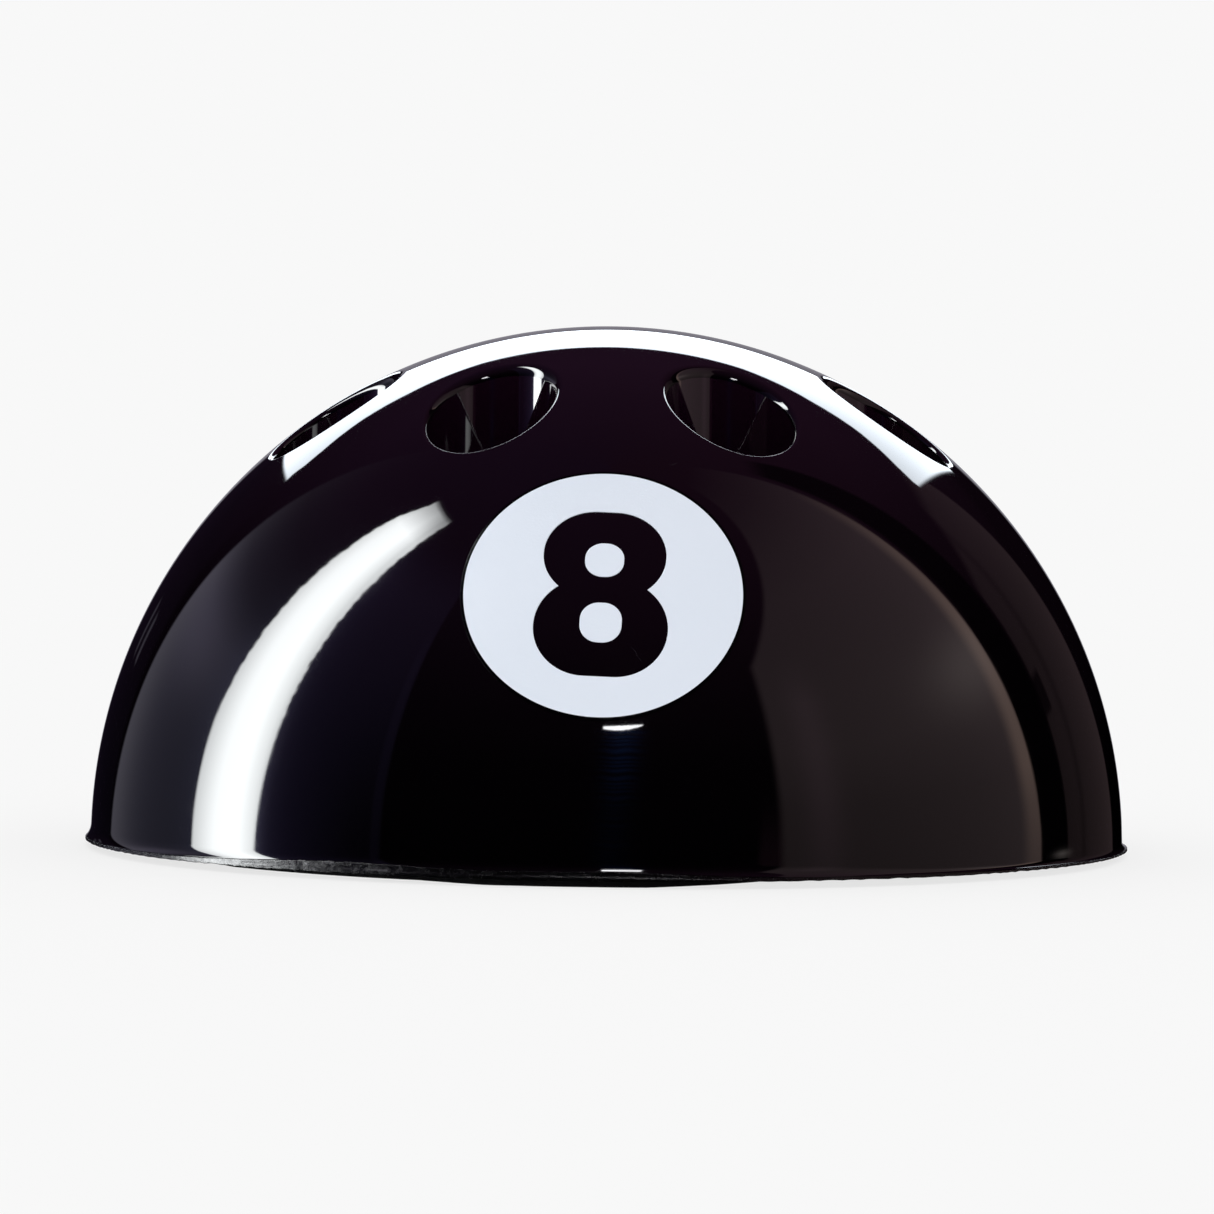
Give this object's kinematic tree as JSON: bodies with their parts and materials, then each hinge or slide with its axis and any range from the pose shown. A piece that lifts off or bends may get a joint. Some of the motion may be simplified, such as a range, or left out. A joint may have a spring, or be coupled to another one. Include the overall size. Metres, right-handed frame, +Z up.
{
  "type": "half-ball floor stand for pool cues",
  "caption": "Hollow gloss black half-ball floor stand with upright tube wells for cue butts and a round white number sticker on the front.",
  "frame": {"origin": "middle of the underside of the felt, on the floor", "axes": "+Z up along the dome's axis, the number sticker faces -Y"},
  "size_m": [0.3535, 0.3536, 0.1774],
  "materials": {
    "black_gloss": "moulded shell, high gloss",
    "tube_black": "extruded tube, gloss",
    "pad_foam": "soft foam rubber",
    "board": "fibreboard stained black",
    "felt": "pressed felt",
    "block_wood": "planed softwood",
    "screw_zinc": "zinc plated",
    "sticker": "vinyl sheet, satin"
  },
  "bodies": {
    "root": {"dome_shell": "black_gloss", "cue_tube_1": "tube_black", "cue_tube_2": "tube_black", "cue_tube_3": "tube_black", "cue_tube_4": "tube_black", "cue_tube_5": "tube_black", "cue_tube_6": "tube_black", "cue_tube_7": "tube_black", "cue_tube_8": "tube_black", "tube_pad_1": "pad_foam", "tube_pad_2": "pad_foam", "tube_pad_3": "pad_foam", "tube_pad_4": "pad_foam", "tube_pad_5": "pad_foam", "tube_pad_6": "pad_foam", "tube_pad_7": "pad_foam", "tube_pad_8": "pad_foam", "base_board": "board", "base_felt": "felt", "fixing_block_1": "block_wood", "fixing_block_2": "block_wood", "fixing_block_3": "block_wood", "fixing_block_4": "block_wood", "base_screws": "screw_zinc", "number_disc": "sticker", "number_upper_counter": "sticker", "number_lower_counter": "sticker"}
  },
  "joints": []
}
